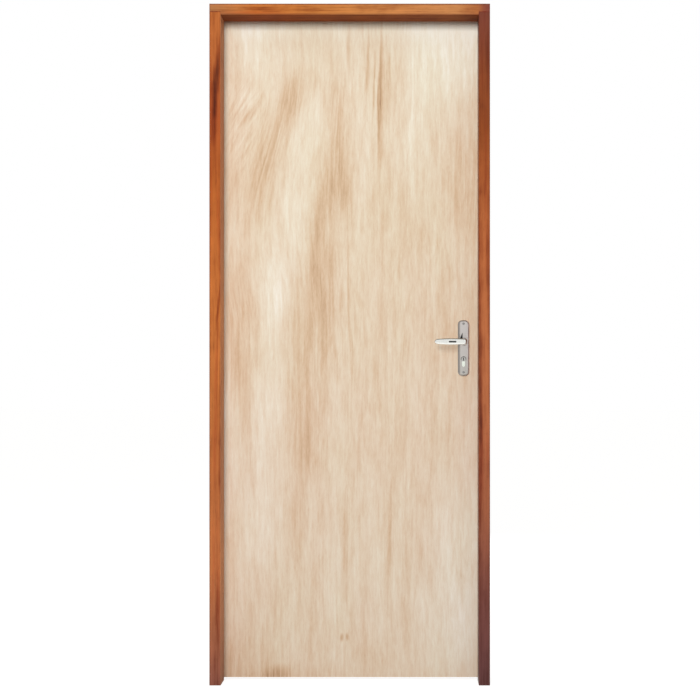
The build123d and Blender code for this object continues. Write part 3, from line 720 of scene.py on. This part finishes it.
def lever_stations():
    """Along, out, turn, thickness, height and squareness of each section from the neck to the tip."""
    middle = LEVER_PROJECTION - GRIP_THICKNESS / 2
    pivot_along = NECK_WIDTH / 2 + LEVER_INNER_RADIUS
    pivot_out = LEVER_PROJECTION - GRIP_THICKNESS - LEVER_INNER_RADIUS
    for share in shares(NECK_STEPS, 0):
        square = between(ROOT_SQUARENESS, GRIP_SQUARENESS, min(1, NECK_SQUARING * share))
        yield 0, between(NECK_ROOT, pivot_out, share), 0, NECK_WIDTH, ROOT_HEIGHT, square
    power = LEVER_CORNER_POWER
    for share in shares(CORNER_STEPS):
        turn = radians(90) * share
        neck = cos(turn) / (LEVER_INNER_RADIUS + NECK_WIDTH)
        grip = sin(turn) / (LEVER_INNER_RADIUS + GRIP_THICKNESS)
        outer = (neck ** power + grip ** power) ** (-1 / power)
        centre = (LEVER_INNER_RADIUS + outer) / 2
        along, out = pivot_along - centre * cos(turn), pivot_out + centre * sin(turn)
        height = between(ROOT_HEIGHT, WAIST_HEIGHT, share)
        yield along, out, turn, outer - LEVER_INNER_RADIUS, height, GRIP_SQUARENESS
    grip_length = LEVER_REACH - LEVER_NOSE - pivot_along
    for share in shares(GRIP_STEPS):
        thickness = between(GRIP_THICKNESS, TIP_THICKNESS, share)
        height = between(WAIST_HEIGHT, SHOULDER_HEIGHT, share) + SWELL * sin(pi * share)
        square = between(GRIP_SQUARENESS, TIP_SQUARENESS, share)
        yield pivot_along + grip_length * share, middle, radians(90), thickness, height, square
    for share in shares(NOSE_STEPS):
        angle = NOSE_TURN * share
        shrink = cos(angle)
        along = LEVER_REACH - LEVER_NOSE * (1 - sin(angle))
        thickness = TIP_THICKNESS * between(NOSE_THINNING, 1, shrink) * min(1, NOSE_CLOSING * shrink)
        yield along, middle, radians(90), thickness, SHOULDER_HEIGHT * shrink, TIP_SQUARENESS


def dimple(along, rise):
    """How deep the slot is at one point of the grip's face."""
    past = max(abs(along - DIMPLE_AT) - DIMPLE_HALF_LENGTH + DIMPLE_HALF_HEIGHT, 0)
    reach = sqrt(past ** 2 + rise ** 2) / DIMPLE_HALF_HEIGHT
    blend = min(max((DIMPLE_RIM - reach) / DIMPLE_SLOPE, 0), 1)
    return DIMPLE_DEPTH * blend * blend * (3 - 2 * blend)


def lever(name, side, material):
    """A cast lever with a slot sunk in its face. side is -1 on the push side and 1 on the pull side."""
    low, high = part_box(name)
    axis_x, axis_z = high[0] - LEVER_COLLAR, (low[2] + high[2]) / 2
    face_y = low[1] + LEVER_PROJECTION if side < 0 else high[1] - LEVER_PROJECTION
    arm = []
    for along, out, turn, thickness, height, square in lever_stations():
        ring = []
        for index in range(POINTS_AROUND):
            angle = 2 * pi * index / POINTS_AROUND
            across = thickness / 2 * power_curve(cos(angle), 2 / square)
            rise = height / 2 * power_curve(sin(angle), 2 / square)
            if across > 0 and turn > GRIP_TURN:
                across -= dimple(along, rise)
            x = axis_x - along + across * cos(turn)
            y = face_y + side * (out + across * sin(turn))
            ring.append((x, y, axis_z + rise))
        arm.append(ring)
    collar = []
    for inset, out in COLLAR_PROFILE:
        ring = []
        for index in range(COLLAR_POINTS):
            angle, radius = 2 * pi * index / COLLAR_POINTS, LEVER_COLLAR - inset
            ring.append((axis_x + radius * cos(angle), face_y + side * out, axis_z + radius * sin(angle)))
        collar.append(ring)
    piece = mesh_object(name + "_cast", "levers", "lever_nickel", material, [arm, collar])
    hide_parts(name)
    return piece


# A cross head's recess, as shares of the head's radius
CROSS_HALF_LENGTH, CROSS_HALF_WIDTH, CROSS_DEPTH, CROSS_TAPER = 0.52, 0.13, 0.42, 0.72
SCREW_RADIUS, SCREW_DEPTH = 4.15 * MM, 1.6 * MM
SHARP_EDGE = radians(30)
TINY = 1e-6


def cross_reach(angle):
    """How far the recess's outline lies from its middle in one direction."""
    across, up = max(abs(cos(angle)), TINY), max(abs(sin(angle)), TINY)
    level = min(CROSS_HALF_LENGTH / across, CROSS_HALF_WIDTH / up)
    upright = min(CROSS_HALF_WIDTH / across, CROSS_HALF_LENGTH / up)
    return max(level, upright)


def head_angles():
    """Directions round a screw head that meet every corner of its recess."""
    corner = atan2(CROSS_HALF_WIDTH, CROSS_HALF_LENGTH)
    step = (pi / 4 - corner) / 3
    half = [0, corner / 2, corner, corner + step, corner + 2 * step]
    quarter = half + [pi / 4] + [pi / 2 - angle for angle in reversed(half[1:])]
    return [turn * pi / 2 + angle for turn in range(4) for angle in quarter]


def screw_heads(name, body, slot, material, places, radius=SCREW_RADIUS, dome=0.0):
    """Countersunk cross heads. places holds each head's centre, its outward direction and a turn."""
    angles = head_angles()
    # Share of the radius, height, and whether the ring follows the recess
    profile = (
        (0.45, -SCREW_DEPTH, False), (0.97, -0.12 * MM, False), (0.93, 0, False), (0.72, dome * 0.6, False),
        (1.0, dome, True), (CROSS_TAPER, dome - CROSS_DEPTH * radius, True),
    )
    tubes = []
    for centre, outward, turn in places:
        head = Vector(outward).normalized().to_track_quat("Z", "Y").to_matrix().to_4x4()
        head = Matrix.Translation(centre) @ head @ Matrix.Rotation(turn, 4, "Z")
        rings = []
        for share, height, crossed in profile:
            reach = [radius * share * (cross_reach(angle) if crossed else 1) for angle in angles]
            rings.append([head @ Vector((r * cos(a), r * sin(a), height)) for r, a in zip(reach, angles)])
        tubes.append(rings)
    piece = mesh_object(name, body, slot, material, tubes)
    piece.data.set_sharp_from_angle(angle=SHARP_EDGE)


def finish_nodes(material, *names):
    for name in names:
        for each in frame["nodes"][name].material_slots:
            each.material = material


# The object's materials

face_veneer = veneer("leaf_front_veneer", FRONT_FIGURE, FRONT_KNOTS, FRONT_FLAMES, (0.0, 0.0, 0.0))
back_veneer = veneer("leaf_back_veneer", BACK_FIGURE, {}, [], (3.1, 0.0, 5.3))
upright_framing = framing_wood("leaf_upright_framing", 2, (222, 184, 142))
level_framing = framing_wood("leaf_level_framing", 0, (216, 176, 134))
# The hinge jamb's reveal, which looks to +X, gets a painted highlight
left_wood = hardwood("hinge_jamb_wood", 2, LEFT_JAMB, LEFT_JAMB_STREAKS, [(0, 1, (176, 128, 100), "SCREEN")])
right_wood = hardwood("strike_jamb_wood", 2, RIGHT_JAMB, RIGHT_JAMB_STREAKS)
# The head's soffit, which looks down, gets painted shade
head_wood = hardwood("head_jamb_wood", 0, HEAD, faces=[(2, -1, (188, 140, 84), "MULTIPLY")], contrast=1.5)
plate_metal = brushed("satin_plate", (214, 209, 205), 0.36, (1400, 200, 60), marks=plate_marks, edges=0.36)
lever_metal = brushed("bright_lever", (236, 237, 232), 0.16, (120, 300, 900), wear=0.3, marks=lever_slot_shade)
cylinder_metal = brushed("cylinder_face", (196, 196, 190), 0.30, (500, 500, 500), marks=cylinder_marks)
plug_metal = brushed("plug_face", (196, 194, 188), 0.28, (700, 700, 700), marks=cylinder_marks)
hinge_metal = brushed("hinge_plate_steel", (164, 161, 156), 0.36, (300, 200, 1200), wear=0.9)
lock_metal = brushed("lock_steel", (184, 184, 182), 0.34, (200, 1200, 60))
bolt_metal = brushed("bolt_brass", (206, 176, 110), 0.28, (200, 900, 200))
screw_metal = brushed("screw_steel", (170, 169, 166), 0.32, (900, 900, 900), wear=0.8)

finish_nodes(face_veneer, "front_skin")
finish_nodes(back_veneer, "back_skin")
finish_nodes(upright_framing, "hinge_stile", "lock_stile", "core_slats", "lock_block")
finish_nodes(level_framing, "top_rail", "bottom_rail")
finish_nodes(left_wood, "hinge_jamb")
finish_nodes(right_wood, "strike_jamb")
finish_nodes(head_wood, "head_jamb")
finish_nodes(plate_metal, "front_backplate", "back_backplate")
finish_nodes(cylinder_metal, "cylinder_body")
finish_nodes(plug_metal, "front_key_plug", "back_key_plug")
finish_nodes(lock_metal, "lock_case", "lock_faceplate", "strike_plate", "lever_spindle")
finish_nodes(bolt_metal, "latch_bolt", "dead_bolt")
for level in HINGES:
    finish_nodes(hinge_metal, *[f"{level}_hinge_{part}" for part in ("frame_plate", "door_plate", "pin")])

levers = [lever(f"{name}_lever", side, lever_metal) for name, side in SIDES]

# How far the heads lie from the face of the plate that they are let into
FLUSH = 0.05 * MM
# Half the gap between the hinge jamb and the leaf, where the hinge plates meet when the leaf is closed
HALF_SIDE_GAP = 2.5 * MM
# From the plate's ends, from the leaf's back face, and how far the middle screw stands further in
HINGE_SCREW_MARGIN, HINGE_SCREW_INSET, HINGE_SCREW_STAGGER = 14 * MM, 8 * MM, 13 * MM
# Each cross stands at its own angle: what is added from hinge to hinge and from screw to screw
HINGE_TURN, SCREW_TURN = 0.7, 1.1

leaf_back_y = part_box("back_skin")[1][1]
for number, level in enumerate(HINGES):
    axis_x = middle_of(f"{level}_hinge_pin")[0]
    for part, body, side in (("frame_plate", "frame", -1), ("door_plate", "leaf", 1)):
        low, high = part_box(f"{level}_hinge_{part}")
        face_x = axis_x + side * (HALF_SIDE_GAP + FLUSH)
        rise = (high[2] - low[2]) / 2 - HINGE_SCREW_MARGIN
        places = []
        for step in (-1, 0, 1):
            depth = HINGE_SCREW_INSET + (HINGE_SCREW_STAGGER if step == 0 else 0)
            place = (face_x, leaf_back_y - depth, (high[2] + low[2]) / 2 + step * rise)
            places.append((place, (-side, 0, 0), HINGE_TURN * number + SCREW_TURN * step + side))
        screw_heads(f"{level}_hinge_{part}_screws", body, "hinge_steel", screw_metal, places)


def screw_pair(name, body, slot, place, reach, outward, turns, **head):
    """Two screws, one as far below place as the other is above it. turns holds one turn for each."""
    x, y, z = place
    places = [((x, y, z + end * reach), outward, turn) for end, turn in zip((-1, 1), turns)]
    screw_heads(name, body, slot, screw_metal, places, **head)


# The strike plate's and the faceplate's height, and how far their screws are from its ends
STRIKE_HEIGHT, STRIKE_INSET = 150 * MM, 10 * MM
FACEPLATE_HEIGHT, FACEPLATE_INSET = 200 * MM, 10 * MM
LOCK_EDGE_BEVEL = radians(2)

strike_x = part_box("strike_plate")[0][0] + FLUSH
screw_pair(
    "strike_plate_screws", "frame", "lock_steel", (strike_x, LEAF_MIDDLE_Y, middle_of("strike_plate")[2]),
    STRIKE_HEIGHT / 2 - STRIKE_INSET, (-1, 0, 0), (-0.5, 1.5),
)

low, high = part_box("lock_faceplate")
faceplate_x = high[0] - (high[1] - low[1]) / 2 * tan(LOCK_EDGE_BEVEL) - FLUSH
screw_pair(
    "lock_faceplate_screws", "leaf", "lock_steel", (faceplate_x, LEAF_MIDDLE_Y, (low[2] + high[2]) / 2),
    FACEPLATE_HEIGHT / 2 - FACEPLATE_INSET, (cos(LOCK_EDGE_BEVEL), -sin(LOCK_EDGE_BEVEL), 0), (1.5, 0.3),
)

# Half the leaf's thickness, and the long plates with the screws at their ends
HALF_LEAF, PLATE_THICKNESS = 17.5 * MM, 7 * MM
PLATE_SCREW_INSET, PLATE_SCREW_RADIUS, PLATE_SCREW_DOME = 11 * MM, 3.8 * MM, 0.35 * MM

for name, side in SIDES:
    low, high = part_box(f"{name}_backplate")
    face_y = LEAF_MIDDLE_Y + side * (HALF_LEAF + PLATE_THICKNESS - FLUSH)
    screw_pair(
        f"{name}_backplate_screws", "leaf", "plate_nickel",
        ((low[0] + high[0]) / 2, face_y, (low[2] + high[2]) / 2),
        (high[2] - low[2]) / 2 - PLATE_SCREW_INSET, (0, side, 0), (0.4, 1.0),
        radius=PLATE_SCREW_RADIUS, dome=PLATE_SCREW_DOME,
    )


# Stage, light and camera

WHITE = (1, 1, 1, 1)
MATT = 0.9
FLOOR_HALF, FLOOR_TONE, FLOOR_GLOW = 60, rgb(150, 149, 147), 0.85
# Strength of the surroundings as light on the object
AMBIENT = 0.49
LAMP_TARGET = Vector((0.44, 0, 1.1))
KEY_PLACE, KEY_SIZE, KEY_POWER = (-0.12, -5.2, 2.9), 1.3, 214
# The share of the main lamp's light in which the levers throw a shadow
KEY_SHADOW = 0.35
REAR_PLACE, REAR_SIZE, REAR_POWER = (1.6, 4.6, 2.4), 2.4, 120
# The camera's place, with its distance from the frame's front, and what it sees in the plane of that front
CAMERA_X, CAMERA_DISTANCE, CAMERA_Z = 0.632, 5.28, 0.941
VIEW_WIDTH, VIEW_CENTRE_X, VIEW_CENTRE_Z = 2.195, 0.441, 1.052
SENSOR = 36


def sheet(name, corner, first, second, material):
    """A flat sheet from one corner and the two edges that start there."""
    corner, first, second = Vector(corner), Vector(first), Vector(second)
    mesh = bpy.data.meshes.new(name)
    mesh.from_pydata([corner, corner + first, corner + first + second, corner + second], [], [(0, 1, 2, 3)])
    mesh.materials.append(material)
    return placed(name, mesh)


def stage_floor():
    """A pale floor that glows only for the camera and reflections, and keeps the object's shadow."""
    g = Material("pale_floor")
    g.surface(FLOOR_TONE, MATT, Specular_IOR_Level=0.0)
    g.shader.inputs["Emission Color"].default_value = WHITE
    g.feed(g.shader.inputs["Emission Strength"], g.product(g.sharp_rays(), FLOOR_GLOW))
    side = 2 * FLOOR_HALF
    floor = sheet("floor", (-FLOOR_HALF, -FLOOR_HALF, 0), (side, 0, 0), (0, side, 0), g.material)


def world():
    """White for the camera and reflections, and AMBIENT as light on the object."""
    made = bpy.data.worlds.new("studio")
    bpy.context.scene.world = made
    made.use_nodes = True
    g = Graph(made.node_tree)
    background = g.nodes["Background"]
    background.inputs["Color"].default_value = WHITE
    g.feed(background.inputs["Strength"], g.maths("MULTIPLY_ADD", g.sharp_rays(), 1 - AMBIENT, AMBIENT))


def softbox(name, place, size, power, unshaded=()):
    """A square lamp that looks at the door. The pieces in unshaded throw no shadow in its light."""
    data = bpy.data.lights.new(name, "AREA")
    data.shape, data.size, data.energy = "SQUARE", size, power
    lamp = placed(name, data)
    lamp.location = place
    lamp.rotation_euler = (LAMP_TARGET - Vector(place)).to_track_quat("-Z", "Y").to_euler()
    lamp.visible_glossy = False
    if unshaded:
        blockers = bpy.data.collections.new(name + "_blockers")
        for piece in unshaded:
            blockers.objects.link(piece)
        for entry in blockers.collection_objects:
            entry.light_linking.link_state = "EXCLUDE"
        lamp.light_linking.blocker_collection = blockers


def dark_card(name, tint, corner, first, second):
    """A dark sheet that only reflections see, so that bright metal shows its edges."""
    material = Material(name).surface(rgb(*tint), MATT, Specular_IOR_Level=0.0)
    card = sheet(name, corner, first, second, material)
    for kind in ("camera", "diffuse", "transmission", "volume_scatter", "shadow"):
        setattr(card, "visible_" + kind, False)


def camera():
    data = bpy.data.cameras.new("camera")
    data.sensor_width = SENSOR
    data.lens = SENSOR * CAMERA_DISTANCE / VIEW_WIDTH
    data.shift_x = (VIEW_CENTRE_X - CAMERA_X) / VIEW_WIDTH
    data.shift_y = (VIEW_CENTRE_Z - CAMERA_Z) / VIEW_WIDTH
    made = placed("camera", data)
    made.location = (CAMERA_X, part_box("head_jamb")[0][1] - CAMERA_DISTANCE, CAMERA_Z)
    made.rotation_euler = (radians(90), 0, 0)
    bpy.context.scene.camera = made


stage_floor()
world()
softbox("key", KEY_PLACE, KEY_SIZE, KEY_POWER * KEY_SHADOW)
softbox("key_fill", KEY_PLACE, KEY_SIZE, KEY_POWER * (1 - KEY_SHADOW), levers)
softbox("rear", REAR_PLACE, REAR_SIZE, REAR_POWER)
dark_card("card_above", (150, 148, 145), (-4, -4.2, 3.5), (9, 0, 0), (0, 4.7, 0))
dark_card("card_left", (40, 38, 36), (-4.2, -4.5, 0.2), (0, 3.7, 0), (0, 0, 3))
camera()
bpy.context.scene.view_settings.view_transform = "Standard"
